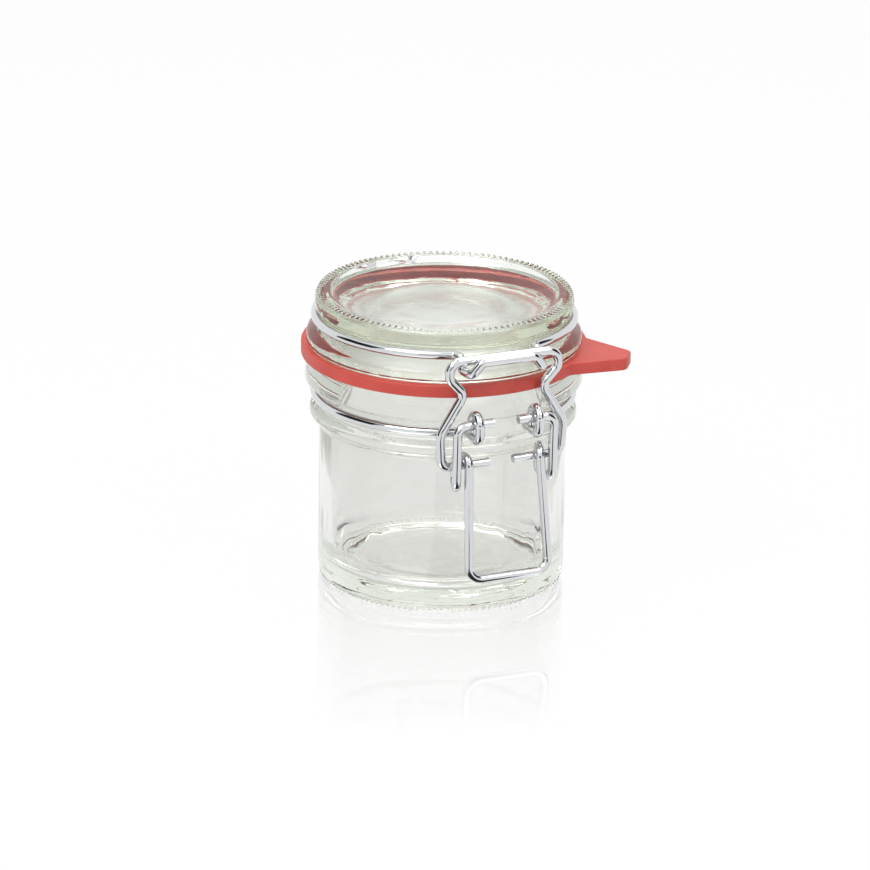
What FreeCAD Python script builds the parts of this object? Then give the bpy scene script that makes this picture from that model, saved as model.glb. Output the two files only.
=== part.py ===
"""A swing-top preserving jar: glass jar, glass lid, rubber seal and four bent steel wires.

Millimetres, +Z up. The origin is the centre of the ring that the jar stands on, the jar's axis
is Z, the clasp faces -Y and the lid's hinge is at +Y. Every driving size is a cell of the sheet,
the levels and radii worked out from them are properties of the variable set, and both are bound
to the sketches by expressions. A bent wire is a circle swept along lines and tangent arcs.
"""

import FreeCAD, Part
import math
import os
import re

import Sketcher
from FreeCAD import Placement, Rotation, Vector

SIZES = {
    # jar glass, from the bottom up
    "body_radius": 32.0,
    "wall": 3.0,
    "floor_thickness": 4.2,
    "base_groove": 1.0,
    "base_pad": 17.0,
    "foot_inset": 2.0,
    "foot_width": 2.6,
    "heel_height": 4.4,
    "shoulder_height": 42.4,
    "flange_step": 2.5,
    "flange_height": 5.0,
    "neck_wall": 3.3,
    "groove_height": 5.0,
    "bead_step": 3.9,
    "bead_height": 7.8,
    "bead_draft": 0.7,
    "glass_round": 0.7,
    "floor_round": 4.0,
    # rubber seal
    "seal_thickness": 3.2,
    "seal_overhang": 1.0,
    "seal_fit": 0.15,
    "seal_round": 0.35,
    "tab_angle": 54.5,
    "tab_reach": 11.6,
    "tab_root": 24.0,
    "tab_tip": 6.5,
    "tab_round": 2.4,
    # lid glass
    "ridge_inset": 2.0,
    "ridge_width": 2.6,
    "ridge_lift": 0.6,
    "lid_hollow": 5.0,
    "lid_centre": 4.6,
    "skirt_inset": 0.4,
    "skirt_height": 3.0,
    "lid_taper": 2.6,
    "lid_groove": 3.0,
    "band_step": 1.4,
    "band_height": 4.4,
    "land_width": 4.1,
    "dish_depth": 3.0,
    "dish_radius": 16.3,
    # knurled rings of the glass
    "knurl_pitch": 1.7,
    "knurl_radius": 0.6,
    "knurl_rise": 0.45,
    # wires
    "wire": 2.4,
    "wire_fit": 0.05,
    "wire_bend": 2.5,
    "catch_bend": 1.75,
    "bar_bend": 3.0,
    "hip_bend": 6.0,
    "handle_bend": 3.5,
    "pivot_play": 0.1,
    # neck wire
    "eye_span": 8.3,
    "eye_height": 6.6,
    "eye_gap": 0.3,
    "pin_span": 10.2,
    # lid wire
    "leg_span": 6.0,
    "leg_wrap": 262.0,
    "nose_span": 7.2,
    "dip_span": 10.6,
    "catch_gap": 0.35,
    "catch_drop": 0.5,
    # lever and link
    "stub_span": 3.4,
    "arm_span": 13.3,
    "throw": 11.4,
    "over_centre": 2.8,
    "coil_height": 8.0,
    "handle_top": 9.8,
    "handle_foot": 11.1,
    "handle_length": 29.0,
    "handle_lean": 7.5,
    "bar_rise": 0.3,
    "link_lean": 1.1,
    "bar_span": 15.0,
    "bar_drop": 4.4,
    "pinch_span": 10.7,
    "hip_span": 17.1,
    "hip_rise": 8.8,
    "ankle_span": 16.5,
}

LEVELS = {
    # heights above the standing ring
    "flange_top": "shoulder_height + flange_height",
    "bead_foot": "flange_top + groove_height",
    "rim": "bead_foot + bead_height",
    "lid_face": "rim + seal_thickness",
    "skirt_top": "lid_face + skirt_height",
    "lid_groove_foot": "skirt_top + lid_taper",
    "lid_groove_top": "lid_groove_foot + lid_groove",
    "land": "lid_groove_top + band_height",
    "dish": "land - dish_depth",
    "hollow_top": "dish - lid_centre",
    "neck_wire_height": "flange_top + groove_height / 2",
    "lid_wire_height": "lid_groove_foot + lid_groove / 2",
    # radii
    "foot_radius": "body_radius - foot_inset",
    "flange_radius": "body_radius + flange_step",
    "neck_radius": "body_radius",
    "bead_radius": "body_radius + bead_step",
    "seal_radius": "bead_radius + seal_overhang",
    "ridge_radius": "body_radius - ridge_inset",
    "skirt_radius": "bead_radius - skirt_inset",
    "lid_neck_radius": "body_radius",
    "band_radius": "body_radius + band_step",
    "cavity_radius": "body_radius - wall",
    "mouth_radius": "neck_radius - neck_wall",
    "neck_ring": "neck_radius + wire_fit + wire / 2",
    "lid_ring": "lid_neck_radius + wire_fit + wire / 2",
    "foot_knurl_ring": "foot_radius + 1.5 * knurl_radius",
    "land_radius": "band_radius - glass_round",
    "land_knurl_ring": "land_radius - 1.2 * knurl_radius",
    # the clasp: an eye's turn about its pin, the pivots and the link's bar, seen from the side
    "turn": "wire + pivot_play",
    "eye_reach": "sqrt(pow(bead_radius; 2) - pow(eye_span - wire / 2; 2)) + turn + wire / 2 + eye_gap",
    "pin_reach": "bead_radius + turn + wire / 4",
    "eye_pivot": "neck_wire_height + eye_height - turn",
    "pin_out": "eye_reach - over_centre",
    "pin_height": "eye_pivot - throw",
    "bar_out": "pin_out + link_lean",
    "bar_height": "lid_wire_height + bar_rise",
    "link_height": "bar_height - pin_height",
    "pinch_height": "rim + seal_thickness / 2 - pin_height",
}

doc = FreeCAD.newDocument("swing_top_jar")
sheet = doc.addObject("Spreadsheet::Sheet", "sizes")
for row, (alias, number) in enumerate(SIZES.items(), start=1):
    sheet.set(f"A{row}", alias)
    sheet.set(f"B{row}", str(number))
    sheet.setAlias(f"B{row}", alias)
doc.recompute()


def bound(expression):
    """The expression with each word written as the cell or the level that it names."""

    def owner(match):
        word = match.group(0)
        if word in SIZES:
            return f"sizes.{word}"
        if word in LEVELS:
            return f"levels.{word}"
        return word

    return re.sub(r"[a-z_]+", owner, expression)


levels = doc.addObject("App::VarSet", "levels")
for name, expression in LEVELS.items():
    levels.addProperty("App::PropertyFloat", name, "Levels")
for name, expression in LEVELS.items():
    levels.setExpression(name, bound(expression))
doc.recompute()


def size(name):
    """The number in a cell of the sheet or in a level."""
    return float(sheet.get(name)) if name in SIZES else float(getattr(levels, name))


# ---------------------------------------------------------------- revolved glass


def plane_of(body, role):
    """One of the body's own origin planes or axes."""
    return next(part for part in body.Origin.OriginFeatures if part.Role == role)


def new_body(label):
    body = doc.addObject("PartDesign::Body", label)
    body.Label = label
    return body


def new_sketch(body, name, role):
    sketch = body.newObject("Sketcher::SketchObject", name)
    sketch.AttachmentSupport = (plane_of(body, role), [""])
    sketch.MapMode = "FlatFace"
    return sketch


def hold(sketch, kind, point, expression):
    """Bind a point's distance from the sketch's origin; "0" puts the point on the axis."""
    line, end = point
    if expression == "0":
        axis = -2 if kind == "DistanceX" else -1
        sketch.addConstraint(Sketcher.Constraint("PointOnObject", line, end, axis))
        return
    spot = sketch.getPoint(line, end)
    start = spot.x if kind == "DistanceX" else spot.y
    index = sketch.addConstraint(Sketcher.Constraint(kind, -1, 1, line, end, start))
    sketch.setExpression(f"Constraints[{index}]", bound(expression))


def outline(sketch, corners):
    """A closed outline of straight sides whose corners are (across, up) expressions."""
    count = len(corners)
    ring = [
        Vector(200 + 90 * math.cos(math.tau * k / count), 200 + 90 * math.sin(math.tau * k / count), 0)
        for k in range(count)
    ]
    for k in range(count):
        sketch.addGeometry(Part.LineSegment(ring[k], ring[(k + 1) % count]), False)
    for k in range(count):
        sketch.addConstraint(Sketcher.Constraint("Coincident", k, 2, (k + 1) % count, 1))
    for k, (across, up) in enumerate(corners):
        hold(sketch, "DistanceX", (k, 1), across)
        hold(sketch, "DistanceY", (k, 1), up)


def revolve(body, corners):
    """The body's first solid, a closed outline turned once about Z."""
    sketch = new_sketch(body, f"{body.Label}_outline", "XZ_Plane")
    outline(sketch, corners)
    turned = body.newObject("PartDesign::Revolution", f"{body.Label}_turned")
    turned.Profile = sketch
    turned.ReferenceAxis = (sketch, ["V_Axis"])
    turned.Angle = 360
    doc.recompute()
    return turned


def ring_edge(shape, radius, height):
    """The name of the circular edge of this radius at this height."""
    for k, edge in enumerate(shape.Edges, start=1):
        curve = edge.Curve
        if isinstance(curve, Part.Circle):
            if abs(curve.Radius - radius) < 0.01 and abs(curve.Center.z - height) < 0.01:
                return f"Edge{k}"
    raise ValueError(f"no edge of radius {radius:.2f} at height {height:.2f}")


def round_rings(body, label, radius, corners):
    """Fillet the circular edges at these corners of the outline, given as numbers."""
    base = body.Tip
    fillet = body.newObject("PartDesign::Fillet", f"{body.Label}_{label}")
    fillet.Base = (base, [ring_edge(base.Shape, across, up) for across, up in corners])
    fillet.setExpression("Radius", bound(radius))
    doc.recompute()


def knurl(body, ring, height):
    """A ring of round bumps on the glass, one bump repeated at the knurl's pitch."""
    bump = body.newObject("PartDesign::AdditiveSphere", f"{body.Label}_bump")
    bump.setExpression("Radius", bound("knurl_radius"))
    bump.setExpression("AttachmentOffset.Base.x", bound(ring))
    bump.setExpression("AttachmentOffset.Base.z", bound(height))
    bump.AttachmentSupport = (plane_of(body, "XY_Plane"), [""])
    bump.MapMode = "FlatFace"
    doc.recompute()
    bumps = body.newObject("PartDesign::PolarPattern", f"{body.Label}_knurl")
    bumps.Originals = [bump]
    bumps.Axis = (plane_of(body, "Z_Axis"), [""])
    bumps.Angle = 360
    bumps.setExpression("Occurrences", bound(f"round(2 * pi * {ring} / knurl_pitch)"))
    body.Tip = bumps
    doc.recompute()


def make_jar_glass():
    """Jar with a ringed foot, a flange, the wire's groove and a bead round the mouth."""
    body = new_body("jar_glass")
    revolve(
        body,
        [
            ("0", "0"),
            ("base_pad", "0"),
            ("base_pad + base_groove", "base_groove"),
            ("foot_radius - foot_width - base_groove", "base_groove"),
            ("foot_radius - foot_width", "0"),
            ("foot_radius", "0"),
            ("foot_radius + 2 * knurl_radius", "2 * knurl_radius"),
            ("body_radius", "heel_height"),
            ("body_radius", "shoulder_height"),
            ("flange_radius", "shoulder_height + flange_height / 3"),
            ("flange_radius", "flange_top - flange_height / 4"),
            ("neck_radius", "flange_top"),
            ("neck_radius", "bead_foot"),
            ("bead_radius", "bead_foot + bead_height / 8"),
            ("bead_radius - bead_draft", "rim"),
            ("mouth_radius", "rim"),
            ("mouth_radius", "flange_top"),
            ("cavity_radius", "shoulder_height"),
            ("cavity_radius", "floor_thickness"),
            ("0", "floor_thickness"),
        ],
    )
    flange = size("shoulder_height")
    bead = size("bead_foot") + size("bead_height") / 8
    round_rings(
        body,
        "round",
        "glass_round",
        [
            (size("flange_radius"), flange + size("flange_height") / 3),
            (size("flange_radius"), size("flange_top") - size("flange_height") / 4),
            (size("neck_radius"), size("flange_top")),
            (size("neck_radius"), size("bead_foot")),
            (size("bead_radius"), bead),
            (size("bead_radius") - size("bead_draft"), size("rim")),
            (size("mouth_radius"), size("rim")),
        ],
    )
    round_rings(
        body,
        "floor_round",
        "floor_round",
        [(size("cavity_radius"), size("floor_thickness"))],
    )
    round_rings(
        body,
        "shoulder_round",
        "2 * glass_round",
        [
            (size("body_radius"), flange),
            (size("cavity_radius"), flange),
            (size("mouth_radius"), size("flange_top")),
            (size("body_radius"), size("heel_height")),
        ],
    )
    knurl(body, "foot_knurl_ring", "1.6 * knurl_radius")
    return body


def make_lid_glass():
    """Lid with a ridge that carries the seal, a skirt, the wire's groove and a dished top."""
    body = new_body("lid_glass")
    revolve(
        body,
        [
            ("0", "hollow_top"),
            ("ridge_radius - ridge_width - lid_hollow / 2", "hollow_top"),
            ("ridge_radius - ridge_width", "rim + ridge_lift"),
            ("ridge_radius", "rim + ridge_lift"),
            ("ridge_radius", "lid_face"),
            ("skirt_radius - glass_round", "lid_face"),
            ("skirt_radius", "lid_face + glass_round"),
            ("skirt_radius", "skirt_top"),
            ("lid_neck_radius", "lid_groove_foot"),
            ("lid_neck_radius", "lid_groove_top"),
            ("band_radius", "lid_groove_top + glass_round"),
            ("band_radius", "land - glass_round"),
            ("land_radius", "land"),
            ("land_radius - land_width", "land"),
            ("land_radius - land_width - glass_round", "land - glass_round"),
            ("dish_radius", "dish"),
            ("0", "dish"),
        ],
    )
    round_rings(
        body,
        "round",
        "glass_round",
        [
            (size("skirt_radius"), size("lid_face") + size("glass_round")),
            (size("skirt_radius"), size("skirt_top")),
            (size("lid_neck_radius"), size("lid_groove_foot")),
            (size("lid_neck_radius"), size("lid_groove_top")),
            (size("band_radius"), size("land") - size("glass_round")),
            (size("dish_radius"), size("dish")),
        ],
    )
    knurl(body, "land_knurl_ring", "land + knurl_rise - knurl_radius")
    return body


# ---------------------------------------------------------------- rubber seal


def make_seal_ring():
    """Flat ring stretched round the lid's ridge, with a pull tab at one side."""
    body = new_body("seal_ring")
    ring = new_sketch(body, "seal_circles", "XY_Plane")
    for k, radius in enumerate(("seal_radius", "ridge_radius + seal_fit")):
        ring.addGeometry(Part.Circle(Vector(0, 0, 0), Vector(0, 0, 1), 40 - 5 * k), False)
        ring.addConstraint(Sketcher.Constraint("Coincident", k, 3, -1, 1))
        index = ring.addConstraint(Sketcher.Constraint("Radius", k, 40 - 5 * k))
        ring.setExpression(f"Constraints[{index}]", bound(radius))
    pad = body.newObject("PartDesign::Pad", "seal_pad")
    pad.Profile = ring
    pad.setExpression("Length", bound("seal_thickness"))
    doc.recompute()
    tab = new_sketch(body, "tab_outline", "XY_Plane")
    root = "ridge_radius + seal_fit + 3"
    tip = "seal_radius + tab_reach"
    sides = ["tab_root / 2", "tab_tip / 2"]
    corners = [(root, sides[0]), (tip, sides[1]), (tip, sides[1]), (root, sides[0])]
    signs = [-1, -1, 1, 1]
    start = [Vector(30, -10, 0), Vector(50, -3, 0), Vector(50, 3, 0), Vector(30, 10, 0)]
    for k in range(4):
        tab.addGeometry(Part.LineSegment(start[k], start[(k + 1) % 4]), False)
    for k in range(4):
        tab.addConstraint(Sketcher.Constraint("Coincident", k, 2, (k + 1) % 4, 1))
    for k, ((across, side), sign) in enumerate(zip(corners, signs)):
        hold(tab, "DistanceX", (k, 1), across)
        hold(tab, "DistanceY", (k, 1), side if sign > 0 else f"-({side})")
    pull = body.newObject("PartDesign::Pad", "seal_tab")
    pull.Profile = tab
    pull.setExpression("Length", bound("seal_thickness"))
    doc.recompute()
    tall = []
    for k, edge in enumerate(pull.Shape.Edges, start=1):
        low, high = sorted((edge.firstVertex().Z, edge.lastVertex().Z))
        far = math.hypot(edge.firstVertex().X, edge.firstVertex().Y)
        if high - low > 0.9 * size("seal_thickness") and far > 0.99 * size("seal_radius"):
            tall.append(f"Edge{k}")
    corner = body.newObject("PartDesign::Fillet", "tab_corners")
    corner.Base = (pull, tall)
    corner.setExpression("Radius", bound("tab_round"))
    doc.recompute()
    rims = []
    for k, edge in enumerate(corner.Shape.Edges, start=1):
        reach = edge.LastParameter - edge.FirstParameter
        spots = [edge.valueAt(edge.FirstParameter + share * reach) for share in (0, 0.5)]
        if max(p.z for p in spots) - min(p.z for p in spots) < 0.01:
            if min(math.hypot(p.x, p.y) for p in spots) > 0.99 * size("seal_radius"):
                rims.append(f"Edge{k}")
    edge_round = body.newObject("PartDesign::Fillet", "seal_edges")
    edge_round.Base = (corner, rims)
    edge_round.setExpression("Radius", bound("seal_round"))
    doc.recompute()
    turn = Rotation(Vector(0, 0, 1), size("tab_angle") - 90)
    body.Placement = Placement(Vector(0, 0, size("rim")), turn)
    return body


# ---------------------------------------------------------------- bent wires


def spot(across, out, height):
    """A point from its place across the front, its reach from the axis and its height."""
    return Vector(across, -out, height)


def bent(points):
    """Edges along straight runs, with a tangent arc at each inner point; points holds
    (place, bend radius) pairs."""
    edges = []
    here = points[0][0]
    for (before, _), (corner, radius), (after, _) in zip(points, points[1:], points[2:]):
        back = (before - corner).normalize()
        ahead = (after - corner).normalize()
        half = back.getAngle(ahead) / 2
        reach = radius / math.tan(half)
        start = corner + back * reach
        end = corner + ahead * reach
        middle = corner + (back + ahead).normalize() * (radius / math.sin(half) - radius)
        if (start - here).Length > 1e-4:
            edges.append(Part.LineSegment(here, start).toShape())
        edges.append(Part.Arc(start, middle, end).toShape())
        here = end
    edges.append(Part.LineSegment(here, points[-1][0]).toShape())
    return edges


def leave_ring(ring, across, bend, height, side):
    """Where a wire round the axis turns straight out at this distance across: the ring's last
    point, the bend's edge and the bend's end. side is -1 at the front and 1 at the back."""
    centre_across = across + bend
    centre_up = math.sqrt((ring + bend) ** 2 - centre_across**2)
    share = ring / (ring + bend)
    last = Vector(centre_across * share, side * centre_up * share, height)
    end = Vector(across, side * centre_up, height)
    centre = Vector(centre_across, side * centre_up, height)
    middle = centre + ((last - centre).normalize() + (end - centre).normalize()).normalize() * bend
    return last, Part.Arc(last, middle, end).toShape(), end


def ring_arc(ring, front, back):
    """The ring's arc round the +X side between two of its points."""
    middle = Vector(ring, 0, front.z)
    return Part.Arc(front, middle, back).toShape()


def make_wire(label, half):
    """A wire whose path is this half and its mirror image, swept with the wire's circle."""
    other = [edge.mirror(Vector(0, 0, 0), Vector(1, 0, 0)) for edge in half]
    path = Part.Wire(Part.__sortEdges__(half + other))
    spine = doc.addObject("Part::Feature", f"{label}_path")
    spine.Shape = path
    first = path.OrderedEdges[0]
    along = first.tangentAt(first.FirstParameter)
    start = first.valueAt(first.FirstParameter)
    circle = doc.addObject("Part::Circle", f"{label}_section")
    circle.setExpression("Radius", bound("wire / 2"))
    circle.Placement = Placement(start, Rotation(Vector(0, 0, 1), along))
    sweep = doc.addObject("Part::Sweep", label)
    sweep.Label = label
    sweep.Sections = [circle]
    sweep.Spine = (spine, [])
    sweep.Solid = True
    sweep.Frenet = False
    doc.recompute()
    expected = path.Length * math.pi * size("wire") ** 2 / 4
    print(f"{label}: length {path.Length:.1f}, volume {sweep.Shape.Volume:.1f} of {expected:.1f}")
    return sweep


def make_neck_wire():
    """Ring in the neck's groove: an eye at each side of the front, a hinge pin at the back."""
    height, turn, bend = size("neck_wire_height"), size("turn"), size("wire_bend")
    eye, reach, span = size("eye_pivot"), size("eye_reach"), size("eye_span")
    front, front_bend, front_end = leave_ring(size("neck_ring"), span, bend, height, -1)
    back, back_bend, back_end = leave_ring(size("neck_ring"), size("pin_span"), bend, height, 1)
    eye_edges = bent(
        [
            (front_end, 0),
            (spot(span, reach + turn, height), turn),
            (spot(span, reach + turn, eye + turn), turn),
            (spot(span, reach - turn, eye + turn), turn),
            (spot(span, reach - turn, height + turn / 2 + 0.2), 0),
        ]
    )
    pin_edges = bent(
        [
            (back_end, 0),
            (Vector(size("pin_span"), size("pin_reach"), height), bend),
            (Vector(0, size("pin_reach"), height), 0),
        ]
    )
    ring = ring_arc(size("neck_ring"), front, back)
    return make_wire("neck_wire", eye_edges + [front_bend, ring, back_bend] + pin_edges)


def make_lid_wire():
    """Ring in the lid's groove: a catch with a nose at the front, a leg to the pin behind."""
    height, turn, bend = size("lid_wire_height"), size("turn"), size("wire_bend")
    span, leg = size("dip_span"), size("leg_span")
    bar_out, bar_height = size("bar_out"), size("bar_height")
    clear = size("wire") + size("catch_gap")
    dip = bar_height - clear - size("catch_drop")
    front, front_bend, front_end = leave_ring(
        size("lid_ring"), span, size("catch_bend"), height, -1
    )
    back, back_bend, back_end = leave_ring(size("lid_ring"), leg, bend, height, 1)
    # Two bends share the short drop to the catch, so each takes just under half of it.
    dip_bend = 0.49 * (height - dip)
    nose = size("nose_span")
    catch = bent(
        [
            (front_end, 0),
            (spot(span, bar_out - clear, height), dip_bend),
            (spot(span, bar_out - clear, dip), dip_bend),
            (spot((3 * span + nose) / 4, bar_out + 0.8 * clear, dip), dip_bend),
            (spot(nose, bar_out + clear, bar_height), dip_bend),
            (spot(0, bar_out + clear, bar_height), 0),
        ]
    )
    pin = Vector(leg, size("pin_reach"), size("neck_wire_height"))
    drop = bent(
        [
            (back_end, 0),
            (Vector(leg, pin.y + turn, height), bend),
            (pin + Vector(0, turn, 0), 0),
        ]
    )
    ring = ring_arc(size("lid_ring"), front, back)

    def round_pin(degrees):
        angle = math.radians(-degrees)
        return pin + Vector(0, turn * math.cos(angle), turn * math.sin(angle))

    wrap = size("leg_wrap")
    eye = Part.Arc(round_pin(0), round_pin(wrap / 2), round_pin(wrap)).toShape()
    return make_wire("lid_wire", catch + [front_bend, ring, back_bend] + drop + [eye])


def make_clasp_link():
    """Waisted bail: the bar in the catch, two legs, and stubs that turn in the lever's coils."""
    lean = Vector(0, -size("link_lean"), size("link_height")).normalize()
    foot = spot(0, size("pin_out"), size("pin_height"))
    tall = math.hypot(size("link_lean"), size("link_height"))
    bend = size("wire_bend")

    def place(across, up):
        return foot + Vector(across, 0, 0) + lean * up

    half = bent(
        [
            (place(0, tall), 0),
            (place(size("bar_span"), tall), size("bar_bend")),
            (place(size("bar_span"), tall - size("bar_drop")), bend),
            (place(size("pinch_span"), size("pinch_height")), bend),
            (place(size("hip_span"), size("hip_rise")), size("hip_bend")),
            (place(size("ankle_span"), 0), bend),
            (place(size("stub_span"), 0), 0),
        ]
    )
    return make_wire("clasp_link", half)


def make_clasp_lever():
    """Lever: stubs in the neck wire's eyes, a long coil round each link stub, and a handle."""
    turn, bend = size("turn"), size("wire_bend")
    pin_out, pin_height = size("pin_out"), size("pin_height")
    lean = math.radians(size("handle_lean"))
    top = pin_height + turn
    bottom = top - size("coil_height")
    front_top = pin_out + turn / math.cos(lean) - turn * math.tan(lean)
    drop = size("handle_length")
    foot_out = pin_out + turn / math.cos(lean) + drop * math.tan(lean)
    middle_lane = (size("handle_top") + size("arm_span")) / 2
    half = bent(
        [
            (spot(0, foot_out, pin_height - drop), 0),
            (spot(size("handle_foot"), foot_out, pin_height - drop), size("handle_bend")),
            (spot(size("handle_top"), front_top, top), turn),
            (spot(middle_lane, pin_out - turn, top), turn),
            (spot(middle_lane, pin_out - turn, bottom), turn),
            (spot(size("arm_span"), pin_out + turn, bottom), turn),
            (spot(size("arm_span"), size("eye_reach"), size("eye_pivot")), bend),
            (spot(size("stub_span"), size("eye_reach"), size("eye_pivot")), 0),
        ]
    )
    return make_wire("clasp_lever", half)


# ---------------------------------------------------------------- build, check and write

pieces = [
    make_jar_glass(),
    make_lid_glass(),
    make_seal_ring(),
    make_neck_wire(),
    make_lid_wire(),
    make_clasp_link(),
    make_clasp_lever(),
]
doc.recompute()

for item in doc.Objects:
    if "Invalid" in item.State or "Error" in item.State:
        raise RuntimeError(f"{item.Name} failed: {item.State}")
for piece in pieces:
    if piece.Shape.isNull() or not piece.Shape.isValid() or len(piece.Shape.Solids) != 1:
        raise RuntimeError(f"{piece.Label} isn't one valid solid")

os.makedirs("parts", exist_ok=True)
for piece in pieces:
    piece.Shape.exportStep(f"parts/{piece.Label}.step")
    box = piece.Shape.BoundBox
    print(f"{piece.Label}: {piece.Shape.Volume:.0f} mm3, z {box.ZMin:.2f} to {box.ZMax:.2f}")
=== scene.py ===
# %% [markdown]
# # A small swing-top preserving jar
#
# The jar is pressed clear glass: a pot, a lid and, between them, a red rubber seal. Bent steel
# wire holds them together. One wire sits in a groove round the pot's neck, one in a groove round
# the lid, and a lever with a waisted link pulls the two together at the front.
#
# The seal and the four wires come ready made with the frame, and only need their finish. The pot
# and the lid are turned here, because clear glass is judged by how it bends light, and that asks
# for rounded corners and small raised bars. The rest of the lesson is about finishes: how clear
# glass, cured rubber and plated wire are told apart by a renderer, and how a studio has to be
# lit before glass and metal look like themselves.

import math

import bmesh
import bpy
from mathutils import Matrix, Vector


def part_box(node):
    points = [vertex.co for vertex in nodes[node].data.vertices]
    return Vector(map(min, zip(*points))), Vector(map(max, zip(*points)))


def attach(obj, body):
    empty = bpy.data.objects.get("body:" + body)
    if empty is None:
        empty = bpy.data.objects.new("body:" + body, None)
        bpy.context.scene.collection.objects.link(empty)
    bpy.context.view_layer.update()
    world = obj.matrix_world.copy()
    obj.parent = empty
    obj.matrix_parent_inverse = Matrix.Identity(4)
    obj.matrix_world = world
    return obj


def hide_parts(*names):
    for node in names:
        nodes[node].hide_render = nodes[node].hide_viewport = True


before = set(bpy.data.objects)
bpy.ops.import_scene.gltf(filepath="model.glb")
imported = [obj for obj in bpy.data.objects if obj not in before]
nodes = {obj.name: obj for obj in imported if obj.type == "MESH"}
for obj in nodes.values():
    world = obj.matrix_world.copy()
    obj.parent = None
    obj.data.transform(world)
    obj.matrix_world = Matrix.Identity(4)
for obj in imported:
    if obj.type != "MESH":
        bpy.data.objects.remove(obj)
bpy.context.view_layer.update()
print("frame nodes:", ", ".join(sorted(nodes)))

# %% [markdown]
# ## Units, colours and nodes
#
# Blender works in metres, and a jar is easier to think about in millimetres, so one constant
# turns one into the other. Colours are written as the hex values that a paint chart or a web
# page would give. Shaders add up light, which is linear, so one function takes the hex value's
# curve out. The last helpers add a shader node with its settings and links in one call, which
# keeps every material readable from top to bottom.

# %% Helpers
MM = 0.001


def linear(hex_colour):
    """An sRGB hex colour as the linear colour, with alpha 1, that shader sockets take."""
    channels = [int(hex_colour[i : i + 2], 16) / 255 for i in (1, 3, 5)]
    return [c / 12.92 if c <= 0.04045 else ((c + 0.055) / 1.055) ** 2.4 for c in channels] + [1]


def add(tree, kind, inputs=None, **settings):
    """A node of this kind in the tree. inputs maps a socket to a value, or to another node's
    output, which is linked. settings are the node's own properties."""
    node = tree.nodes.new(kind)
    for name, setting in settings.items():
        setattr(node, name, setting)
    for name, given in (inputs or {}).items():
        if isinstance(given, bpy.types.NodeSocket):
            tree.links.new(given, node.inputs[name])
        else:
            node.inputs[name].default_value = given
    return node


def calc(tree, operation, first, second):
    """The output of a math node."""
    return add(tree, "ShaderNodeMath", {0: first, 1: second}, operation=operation).outputs[0]


def mix(tree, share, first, second):
    """The output of a mix of two shaders, all of the second where share is 1."""
    return add(tree, "ShaderNodeMixShader", {"Fac": share, 1: first, 2: second}).outputs[0]


def noise(tree, place, grain_mm, **more):
    """The value of a noise whose blotches are about this many millimetres across."""
    inputs = {"Vector": place, "Scale": 1 / (grain_mm * MM)}
    inputs.update({name.capitalize(): setting for name, setting in more.items()})
    return add(tree, "ShaderNodeTexNoise", inputs).outputs["Fac"]


def bump(tree, height, strength, rise_mm):
    """The normal of a relief of this strength and rise."""
    inputs = {"Height": height, "Strength": strength, "Distance": rise_mm * MM}
    return add(tree, "ShaderNodeBump", inputs).outputs["Normal"]


def ramp(tree, given, **ends):
    """The given value, stretched from one range to another."""
    inputs = {"Value": given}
    inputs.update({name.replace("_", " ").title(): end for name, end in ends.items()})
    return add(tree, "ShaderNodeMapRange", inputs).outputs[0]


def new_material(name):
    """An empty node material: its tree, and its output node."""
    material = bpy.data.materials.new(name)
    material.use_nodes = True
    material.node_tree.nodes.clear()
    return material, material.node_tree, material.node_tree.nodes.new("ShaderNodeOutputMaterial")


print("helpers ready")

# %% [markdown]
# ## Pressed soda-lime glass
#
# The pot and the lid are soda-lime glass, pressed hot into an iron mould. That gives the eye
# five things. Its index of refraction of 1.52 bends what lies behind it. A little iron in the
# sand tints it green, which shows only where light runs a long way through, at the rims and
# corners. The mould's chilled skin leaves a slow wave, 7 to 9 mm from crest to crest, that makes
# reflections swim, and on the pot's wall the wave is drawn out upwards, the way the glass was
# pushed. The outside is fire-polished and almost perfectly smooth. The lid's inside was shaped
# by a cooler plunger, which leaves it slightly hazy.
#
# The tint could be painted as the surface's colour, but then thin and thick glass would look
# the same. Volume absorption takes more light the further it travels, as the real glass does.

# %% Glass
GLASS_IOR = 1.52
IRON_TINT = "#DBEAD0"
POLISHED = 0.01
HAZY = 0.4
PLUNGER_R = 27.6
# A ray is let straight through after this many bounces of either kind.
MOST_BOUNCES = {"Ray Depth": 7.5, "Glossy Depth": 3.5}


def plunger_haze(tree, place, below_mm):
    """The roughness: hazy within the plunger's radius and below a height, polished elsewhere."""
    parts = add(tree, "ShaderNodeSeparateXYZ", {"Vector": place}).outputs
    flat = add(tree, "ShaderNodeCombineXYZ", {"X": parts["X"], "Y": parts["Y"]}).outputs[0]
    reach = add(tree, "ShaderNodeVectorMath", {0: flat}, operation="LENGTH").outputs["Value"]
    inside = calc(tree, "LESS_THAN", reach, PLUNGER_R * MM)
    under = calc(tree, "LESS_THAN", parts["Z"], below_mm * MM)
    return ramp(tree, calc(tree, "MULTIPLY", inside, under), to_min=POLISHED, to_max=HAZY)


def straight_rays(tree):
    """1 for a ray that takes the straight way through. A shadow ray does, so that the glass
    lets the studio's light in, and so does a ray that has bounced many times, which would only
    end in black."""
    ray = add(tree, "ShaderNodeLightPath").outputs
    straight = ray["Is Shadow Ray"]
    for counter, most in MOST_BOUNCES.items():
        straight = calc(tree, "MAXIMUM", straight, calc(tree, "GREATER_THAN", ray[counter], most))
    return straight


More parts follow.
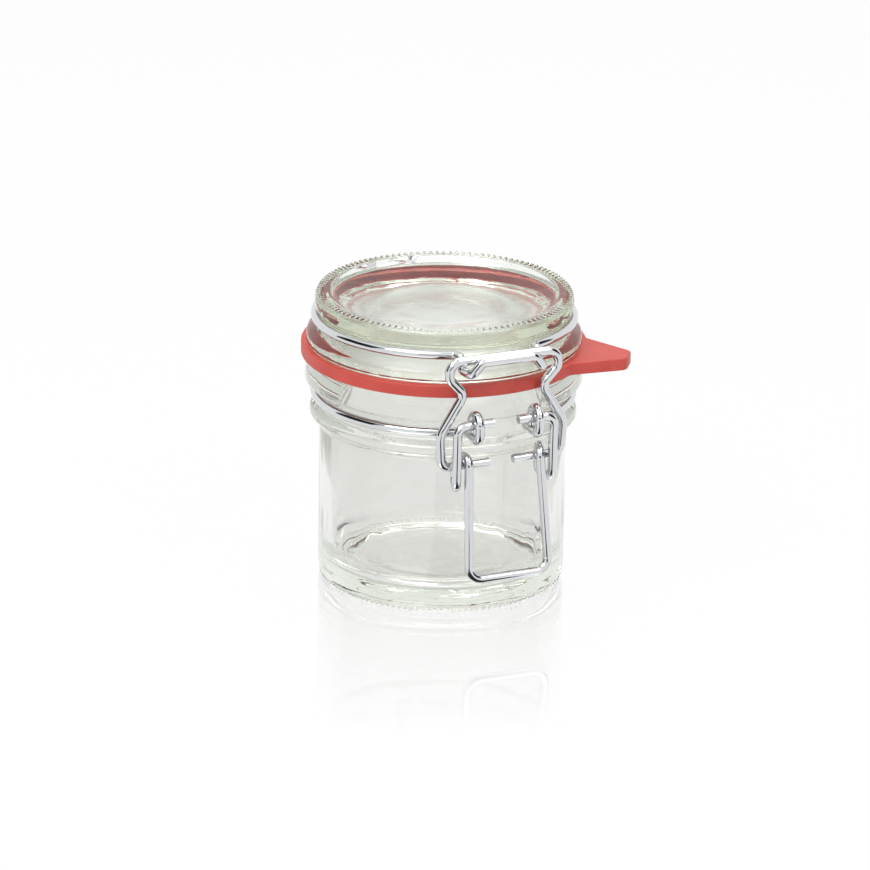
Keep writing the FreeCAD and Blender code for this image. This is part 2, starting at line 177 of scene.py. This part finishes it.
def pressed_glass(name, skin, wave_mm, draw, wave_strength, tint_density, hazy_below_mm):
    """Clear soda-lime glass with a wave of this length and strength and a tint in its depth.
    A draw under 1 stretches the wave up the wall. Below hazy_below_mm, and inside the plunger's
    radius, the surface is hazy."""
    material, tree, output = new_material(name)
    place = add(tree, "ShaderNodeTexCoord").outputs["Object"]
    drawn = add(tree, "ShaderNodeMapping", {"Vector": place, "Scale": (1, 1, draw)}).outputs[0]
    wave = noise(tree, drawn, wave_mm, detail=2.0, roughness=0.3, distortion=0.6)
    glass = add(
        tree,
        "ShaderNodeBsdfPrincipled",
        {
            "Base Color": linear(skin),
            "Roughness": plunger_haze(tree, place, hazy_below_mm),
            "IOR": GLASS_IOR,
            "Transmission Weight": 1.0,
            "Normal": bump(tree, wave, wave_strength, 1.0),
        },
    )
    clear = add(tree, "ShaderNodeBsdfTransparent", {"Color": linear("#EFF0EE")})
    surface = mix(tree, straight_rays(tree), glass.outputs[0], clear.outputs[0])
    tree.links.new(surface, output.inputs["Surface"])
    tint = {"Color": linear(IRON_TINT), "Density": tint_density}
    depth = add(tree, "ShaderNodeVolumeAbsorption", tint)
    tree.links.new(depth.outputs[0], output.inputs["Volume"])
    return material


pot_glass = pressed_glass(
    "soda_lime_glass_pot",
    skin="#F0F0EE",
    wave_mm=9,
    draw=0.15,
    wave_strength=0.26,
    tint_density=6.0,
    hazy_below_mm=0.0,
)
lid_glass = pressed_glass(
    "soda_lime_glass_lid",
    skin="#FAFBF9",
    wave_mm=7,
    draw=1.0,
    wave_strength=0.3,
    tint_density=20.0,
    hazy_below_mm=71.4,
)
print("made", pot_glass.name, "and", lid_glass.name)

# %% [markdown]
# ## Moulded rubber
#
# The seal is natural rubber, coloured through and cured in a mould. It is satin, not shiny, and
# it has a fine grain from the mould's blasted surface, about 0.4 mm. Its colour clouds a little
# over 6 mm or so. Rubber is slightly milky: light enters, scatters and comes out beside where
# it went in, which softens its edges.

# %% Rubber
RUBBER_IOR = 1.52


def moulded_rubber():
    """Coral-red rubber with a fine matt grain and a slightly uneven colour."""
    material, tree, output = new_material("natural_rubber_moulded")
    place = add(tree, "ShaderNodeTexCoord").outputs["Object"]
    cloud = noise(tree, place, 6, detail=3.0)
    colour = add(
        tree,
        "ShaderNodeMix",
        {"Factor": cloud, 6: linear("#C03D34"), 7: linear("#D25347")},
        data_type="RGBA",
    )
    grain = noise(tree, place, 0.4, detail=2.0)
    rubber = add(
        tree,
        "ShaderNodeBsdfPrincipled",
        {
            "Base Color": colour.outputs[2],
            "Roughness": 0.48,
            "IOR": RUBBER_IOR,
            "Subsurface Weight": 0.15,
            "Subsurface Radius": (1.0, 0.35, 0.25),
            "Subsurface Scale": 1.0 * MM,
            "Normal": bump(tree, grain, 0.25, 0.06),
        },
    )
    tree.links.new(rubber.outputs[0], output.inputs["Surface"])
    return material


rubber = moulded_rubber()
print("made", rubber.name)

# %% [markdown]
# ## Drawn and plated wire
#
# The clasp is 2.4 mm steel wire, drawn through a die, bent, and plated with zinc or tin
# against rust. The plating is bright but not a mirror: it carries a soft haze, and rubs from
# the bending tools that dull it in patches of 2.5 mm or so. Scuffs of half a millimetre break up
# its reflections.

# %% Wire


def plated_wire():
    """Bright plated steel wire with a soft, slightly patchy polish."""
    material, tree, output = new_material("steel_wire_drawn_plated")
    place = add(tree, "ShaderNodeTexCoord").outputs["Object"]
    rubs = noise(tree, place, 2.5, detail=4.0)
    scuff = noise(tree, place, 0.5, detail=3.0)
    metal = add(
        tree,
        "ShaderNodeBsdfPrincipled",
        {
            "Base Color": linear("#D6D8DA"),
            "Metallic": 1.0,
            "Roughness": ramp(tree, rubs, from_min=0.35, from_max=0.7, to_min=0.05, to_max=0.14),
            "Normal": bump(tree, scuff, 0.12, 0.03),
        },
    )
    tree.links.new(metal.outputs[0], output.inputs["Surface"])
    return material


wire = plated_wire()
print("made", wire.name)

# %% [markdown]
# ## Turned glass
#
# Pressed glass comes out of a mould that was turned on a lathe, so the pot and the lid are made
# the way a lathe hand would think of them: half a cross-section, swung once round the axis. The
# cross-section is a chain of points. A vertex bevel rounds every corner first, because hot
# glass never fills a sharp one, and a spin then makes the solid. Modelling the rounding as real
# geometry matters here, for light bends at a rounded corner in a way that no bump can copy.
#
# The mould also cuts a ring of small bars, which keep a lid or a foot from slipping. They are
# every second face of a narrow band, inset a little and lifted.

# %% Lathe
STEPS = 240
ROUNDING_SEGMENTS = 6
SHARP_EDGE = 50


def turned(corners):
    """A closed ring or cup from (radius, height, rounding) corners in millimetres."""
    work = bmesh.new()
    chain = [work.verts.new((radius * MM, 0, height * MM)) for radius, height, _ in corners]
    for before, after in zip(chain, chain[1:]):
        work.edges.new((before, after))
    for vert, (_, _, rounding) in zip(chain, corners):
        if rounding:
            bmesh.ops.bevel(
                work,
                geom=[vert],
                offset=rounding * MM,
                segments=ROUNDING_SEGMENTS,
                profile=0.5,
                affect="VERTICES",
                material=-1,
            )
    bmesh.ops.spin(
        work,
        geom=work.verts[:] + work.edges[:],
        cent=(0, 0, 0),
        axis=(0, 0, 1),
        angle=math.tau,
        steps=STEPS,
        use_merge=True,
    )
    bmesh.ops.remove_doubles(work, verts=work.verts, dist=0.001 * MM)
    bmesh.ops.recalc_face_normals(work, faces=work.faces)
    return work


def knurl(work, inner, outer, low, high, inset, lift):
    """Raise every second face of a band, given in millimetres, into a small bar."""
    chosen = []
    for face in work.faces:
        middle = face.calc_center_median() / MM
        reach = math.hypot(middle.x, middle.y)
        if inner < reach < outer and low < middle.z < high:
            turn = math.atan2(middle.y, middle.x) / math.tau * STEPS
            if int(turn // 1) % 2 == 0:
                chosen.append(face)
    bmesh.ops.inset_individual(work, faces=chosen, thickness=inset * MM, depth=lift * MM)
    # The mould's floor is flat, so nothing may stand out below it.
    for vert in work.verts:
        vert.co.z = max(vert.co.z, 0)
    return len(chosen)


def finish_piece(work, name, body, finish, stands_for):
    """The piece's object: smooth, in its finish, on its body, in place of its CAD node."""
    mesh = bpy.data.meshes.new(name)
    work.to_mesh(mesh)
    work.free()
    mesh.shade_smooth()
    mesh.set_sharp_from_angle(angle=math.radians(SHARP_EDGE))
    mesh.materials.append(finish)
    piece = bpy.data.objects.new(name, mesh)
    bpy.context.scene.collection.objects.link(piece)
    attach(piece, body)
    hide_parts(stands_for)
    print(f"{name}: {len(mesh.polygons)} faces")
    return piece


print("lathe ready,", STEPS, "steps a turn")

# %% [markdown]
# ## The lid
#
# The lid is a thick disc with a shallow dish on top. Below it a ridge drops into the seal and
# centres the lid, and a skirt presses on the seal. Above the skirt runs the groove that the
# lid's wire snaps into, and then a band up to the land, the flat rim that carries the bars.
# The underside is domed, where the plunger pushed.

# %% Lid
lid_low, lid_high = (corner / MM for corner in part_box("lid_glass"))
LID_BAR = {"inset": 0.16, "lift": 0.44}
LAND = lid_high.z - 0.45
SEAT = 63.4
RIDGE_R = 30.0
SKIRT_R = 35.5
BAND_R = 33.4
LID_GROOVE_R = 32.0
DISH_R = 16.3
lid_work = turned(
    [
        # the domed underside, the ridge and the skirt
        (0, LAND - 6.4, 0),
        (10.0, LAND - 6.9, 6.0),
        (22.0, LAND - 9.9, 6.0),
        (27.4, lid_low.z, 0.5),
        (RIDGE_R, lid_low.z, 0.5),
        (RIDGE_R, SEAT, 0.3),
        (SKIRT_R, SEAT, 0.9),
        (SKIRT_R, SEAT + 3.0, 0.8),
        # the wire's groove and the band
        (LID_GROOVE_R, 69.0, 0.8),
        (LID_GROOVE_R, 72.0, 0.8),
        (BAND_R, 72.7, 0.5),
        (BAND_R, LAND - 0.7, 0.5),
        # the land, its inner lip and the dish
        (32.9, LAND, 0.3),
        (30.9, LAND, 0.3),
        (29.6, LAND + 0.2, 0.5),
        (28.0, LAND - 1.0, 0.8),
        (DISH_R, LAND - 3.1, 1.5),
        (DISH_R - 2.5, LAND - 2.8, 1.5),
        (0, LAND - 3.0, 0),
    ]
)
print("lid bars:", knurl(lid_work, 31.2, 32.7, LAND - 0.1, LAND + 0.1, **LID_BAR))
finish_piece(lid_work, "lid_glass_pressed", "lid", lid_glass, "lid_glass")

# %% [markdown]
# ## The pot
#
# The pot is a plain cup with a thick base, which the glass flows down to. Its foot is a ring
# with bars on its bevel, round a shallow groove, so that it stands without rocking. Above the
# wall come a flange, the groove for the neck's wire, and the bead that the seal lies on.
# Inside, a wide rounding leads from the floor to the wall, as a plunger's nose would leave it.

# %% Pot
pot_low, pot_high = (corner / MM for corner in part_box("jar_glass"))
# The seal lies on the rim. Dividing the whole corner, and not its height alone, rounds the rim
# to just under the seal's face. Were the two faces exactly level, the bead would look dark.
RIM = pot_high.z
FOOT_BAR = {"inset": 0.12, "lift": 0.35}
BODY_R = 32.0
INSIDE_R = 29.0
MOUTH_R = 28.7
FLANGE_R = 34.5
BEAD_R = 35.9
SHOULDER = 42.4
NECK_LOW = 47.4
NECK_HIGH = 52.4
pot_work = turned(
    [
        # the base's flat middle, its groove and the foot
        (0, 0, 0),
        (16.0, 0, 2.0),
        (21.0, 0.9, 2.0),
        (26.4, 0.9, 0.4),
        (27.4, 0, 0.5),
        (30.0, 0, 0.3),
        (31.6, 1.4, 0.3),
        # the wall, the flange and the wire's groove
        (BODY_R, 3.4, 0.8),
        (BODY_R, SHOULDER, 1.4),
        (FLANGE_R, SHOULDER + 1.7, 0.8),
        (FLANGE_R, SHOULDER + 3.7, 0.8),
        (BODY_R, NECK_LOW, 0.7),
        (BODY_R, NECK_HIGH, 0.7),
        # the bead, the mouth and the inside
        (BEAD_R, NECK_HIGH + 1.0, 0.8),
        (BEAD_R - 0.7, RIM, 0.8),
        (MOUTH_R, RIM, 0.7),
        (MOUTH_R, NECK_LOW, 1.4),
        (INSIDE_R, SHOULDER, 1.4),
        (INSIDE_R, 4.0, 8.0),
        (14.0, 4.3, 6.0),
        (0, 4.8, 0),
    ]
)
print(f"pot stands from {pot_low.z:.2f} to {RIM:.2f} mm")
print("foot bars:", knurl(pot_work, 30.2, 31.5, 0.2, 1.3, **FOOT_BAR))
finish_piece(pot_work, "jar_glass_pressed", "jar", pot_glass, "jar_glass")

# %% [markdown]
# ## Dress the parts
#
# Each part that keeps its shape gets the finish of what it is made from.

# %% Dress
FINISHES = {
    "seal_ring": rubber,
    "neck_wire": wire,
    "lid_wire": wire,
    "clasp_link": wire,
    "clasp_lever": wire,
}
for name, finish in FINISHES.items():
    for material_slot in nodes[name].material_slots:
        material_slot.material = finish
    print(f"{name}: {finish.name}, {len(nodes[name].data.polygons)} faces")

# %% [markdown]
# ## The table
#
# Clear glass has no colour of its own: it shows what is round it. On a white table with a white
# backdrop it is drawn by thin grey lines, where its curved edges reach round to something
# dark. So the studio is white. The table is lacquered, and rubbed to a mirror under the jar
# alone, so the jar's reflection fades out a hand's breadth in front of it.

# %% Table
MIRROR_SHARE = 0.36


def sheet_of(name, width, depth, place):
    """A flat rectangle that belongs to the studio, not to the object."""
    mesh = bpy.data.meshes.new(name)
    work = bmesh.new()
    bmesh.ops.create_grid(work, x_segments=1, y_segments=1, size=0.5)
    bmesh.ops.scale(work, vec=(width, depth, 1), verts=work.verts)
    bmesh.ops.transform(work, matrix=place, verts=work.verts)
    work.to_mesh(mesh)
    work.free()
    piece = bpy.data.objects.new(name, mesh)
    bpy.context.scene.collection.objects.link(piece)
    return piece


def seen_directly(tree):
    """1 for rays from the camera, from a mirror and through glass, 0 for those that light."""
    ray = add(tree, "ShaderNodeLightPath").outputs
    seen = calc(tree, "MAXIMUM", ray["Is Camera Ray"], ray["Is Glossy Ray"])
    return calc(tree, "MAXIMUM", seen, ray["Is Transmission Ray"])


def distance_out(tree):
    """How far a point lies from the middle of the table."""
    place = add(tree, "ShaderNodeTexCoord").outputs["Object"]
    return add(tree, "ShaderNodeVectorMath", {0: place}, operation="LENGTH").outputs["Value"]


def polished_white():
    """White lacquer that stays white to the eye, in a mirror and through glass."""
    material, tree, output = new_material("studio_white_lacquer")
    paint = add(tree, "ShaderNodeBsdfDiffuse", {"Color": linear("#F4F4F4")})
    white = add(tree, "ShaderNodeEmission", {"Color": linear("#FFFFFF"), "Strength": 1.0})
    share = calc(tree, "MULTIPLY", seen_directly(tree), 0.92)
    lacquer = mix(tree, share, paint.outputs[0], white.outputs[0])
    polish = add(tree, "ShaderNodeBsdfGlossy", {"Color": linear("#FFFFFF"), "Roughness": 0.03})
    rubbed = ramp(
        tree,
        distance_out(tree),
        from_min=30 * MM,
        from_max=115 * MM,
        to_min=MIRROR_SHARE,
        to_max=0.0,
    )
    surface = mix(tree, rubbed, lacquer, polish.outputs[0])
    tree.links.new(surface, output.inputs["Surface"])
    return material


table = sheet_of("table", 6, 6, Matrix.Translation((0, 0, -0.05 * MM)))
table.data.materials.append(polished_white())
print("table", table.dimensions[:2])

# %% [markdown]
# ## The room
#
# The room's walls are white wherever they are seen: straight on, in a mirror or through glass.
# As a source of light they give half as much, so that the lamps can still model the rubber and
# the wire.

# %% Room
world = bpy.data.worlds.new("studio")
bpy.context.scene.world = world
world.use_nodes = True
room = world.node_tree
room.nodes.clear()
room_out = room.nodes.new("ShaderNodeOutputWorld")
level = ramp(room, seen_directly(room), to_min=0.5, to_max=1.0)
glow = add(room, "ShaderNodeBackground", {"Color": linear("#FFFFFF"), "Strength": level})
room.links.new(glow.outputs[0], room_out.inputs["Surface"])
print("room set")

# %% [markdown]
# ## Dark cloths
#
# In an all-white room a bright wire would look like white plastic. Three large dark cloths stand
# round the table, two at the sides and one low behind the camera, and are seen only where
# something mirrors them. They give the wire and the glass their dark stripes.

# %% Dark cloths
CENTRE = Vector((0, 0, 38 * MM))
VIEW_TURN = -24
CLOTH_DISTANCE = 1.9
CLOTHS = (
    # name, azimuth, elevation, width, height
    ("panel_front", -24, 3, 1.5, 0.45),
    ("panel_left", -105, 22, 1.5, 1.6),
    ("panel_right", 58, 22, 1.5, 1.6),
)


def facing(azimuth, elevation, distance):
    """The place of a thing at this azimuth and elevation that looks at the jar's centre."""
    a, e = math.radians(azimuth), math.radians(elevation)
    way = Vector((math.sin(a) * math.cos(e), -math.cos(a) * math.cos(e), math.sin(e)))
    turn = way.to_track_quat("Z", "Y").to_matrix().to_4x4()
    return Matrix.Translation(CENTRE + way * distance) @ turn


def show_only(piece, kinds):
    """Let only these kinds of ray meet the piece."""
    for kind in ("camera", "shadow", "diffuse", "glossy", "transmission"):
        setattr(piece, f"visible_{kind}", kind in kinds)


dark, tree, output = new_material("studio_dark_cloth")
cloth = add(tree, "ShaderNodeBsdfDiffuse", {"Color": linear("#353736")})
tree.links.new(cloth.outputs[0], output.inputs["Surface"])
for name, azimuth, elevation, width, height in CLOTHS:
    panel = sheet_of(name, width, height, facing(azimuth, elevation, CLOTH_DISTANCE))
    panel.data.materials.append(dark)
    show_only(panel, {"glossy"})
print("cloths set:", len(CLOTHS))

# %% [markdown]
# ## Cards on the table
#
# The cloths stand too high to reach two places, so three cards lie flat on the table.
#
# The pot's wall bends light sideways and down, onto the table. A pale card at each side, square
# to the view, gives the wall a soft grey edge. The cards fade in outwards, so that they have no
# hard border, and are seen only through glass.
#
# The upright wires mirror the table in front of the jar. A dark strip there puts a dark line
# down the middle of each, which is what tells bright metal from grey plastic. It is seen only in
# mirrors. The table's own mirror lies just under it and has to look past it, so the strip is
# clear at close range.

# %% Cards
SQUARE_ON = Matrix.Rotation(math.radians(VIEW_TURN), 4, "Z")
CARD_LIFT = 0.1 * MM
CLEAR_RANGE = 8 * MM


def card_finish(name, colour, measure):
    """Matt paper of this colour that is there where measure(tree) is 1, and clear at 0."""
    material, tree, output = new_material(name)
    nothing = add(tree, "ShaderNodeBsdfTransparent")
    paper = add(tree, "ShaderNodeBsdfDiffuse", {"Color": linear(colour)})
    surface = mix(tree, measure(tree), nothing.outputs[0], paper.outputs[0])
    tree.links.new(surface, output.inputs["Surface"])
    return material


def fading_in(tree):
    """0 near the pot, growing to 1 further out."""
    return ramp(tree, distance_out(tree), from_min=70 * MM, from_max=150 * MM)


def from_afar(tree):
    """1 for a ray that has come from further off than the table just below."""
    ray = add(tree, "ShaderNodeLightPath").outputs
    return calc(tree, "GREATER_THAN", ray["Ray Length"], CLEAR_RANGE)


pale = card_finish("studio_grey_card", "#ACAEA2", fading_in)
narrow = card_finish("studio_dark_strip", "#353736", from_afar)
for name, width, depth, aside, ahead, paper, seen_by in (
    ("card_left", 0.61, 0.7, -0.385, 0, pale, {"transmission"}),
    ("card_right", 0.61, 0.7, 0.385, 0, pale, {"transmission"}),
    ("card_front", 0.05, 0.31, 0.016, -0.2, narrow, {"glossy"}),
):
    spot = SQUARE_ON @ Matrix.Translation((aside, ahead, CARD_LIFT))
    card = sheet_of(name, width, depth, spot)
    card.data.materials.append(paper)
    show_only(card, seen_by)
    print(name, "seen by", *seen_by, "rays")

# %% [markdown]
# ## The lamps
#
# Three large softboxes light what isn't clear: a key from the upper left that models the seal
# and the wires, a weak fill from the right, and one from above and behind that lights the seal's
# tab and the lid's rim.

# %% Lamps
LAMPS = (
    # name, azimuth, elevation, distance, size in metres, power in watts
    ("key_softbox", -60, 50, 0.9, 0.5, 3.6),
    ("fill_softbox", 30, 45, 1.0, 0.5, 1.6),
    ("top_softbox", 150, 70, 0.9, 0.6, 2.4),
)
for name, azimuth, elevation, distance, size, power in LAMPS:
    lamp = bpy.data.lights.new(name, "AREA")
    lamp.shape = "SQUARE"
    lamp.size = size
    lamp.energy = power
    holder = bpy.data.objects.new(name, lamp)
    holder.matrix_world = facing(azimuth, elevation, distance)
    bpy.context.scene.collection.objects.link(holder)
print("lamps set:", len(LAMPS))

# %% [markdown]
# ## The camera
#
# A long lens from 1.6 m off looks down on the jar a little from its left front. It keeps the
# jar's upright sides parallel, the way a catalogue shows a jar. The camera leans by a degree and
# sits a little aside, which puts the jar where it should stand in the frame.

# %% Camera
FOCAL_MM = 255.5
SENSOR_MM = 36.0
VIEW_TILT = 19.53
VIEW_DISTANCE = 1.6
LEAN = 0.906
ASIDE_MM = (-1.96, -0.66, 0)

camera_data = bpy.data.cameras.new("camera")
camera_data.lens = FOCAL_MM
camera_data.sensor_width = SENSOR_MM
camera = bpy.data.objects.new("camera", camera_data)
bpy.context.scene.collection.objects.link(camera)
stand = facing(VIEW_TURN, VIEW_TILT, VIEW_DISTANCE) @ Matrix.Rotation(math.radians(LEAN), 4, "Z")
aside = Matrix.Translation(stand.to_3x3() @ (Vector(ASIDE_MM) * MM))
camera.matrix_world = aside @ stand
bpy.context.scene.camera = camera
bpy.context.scene.view_settings.view_transform = "Standard"
print("camera set,", FOCAL_MM, "mm lens")

# %% [markdown]
# ## The end
#
# Nothing more is added to the scene. The dressed jar may not reach past the frame's own box.

# %% End
print("scene complete")
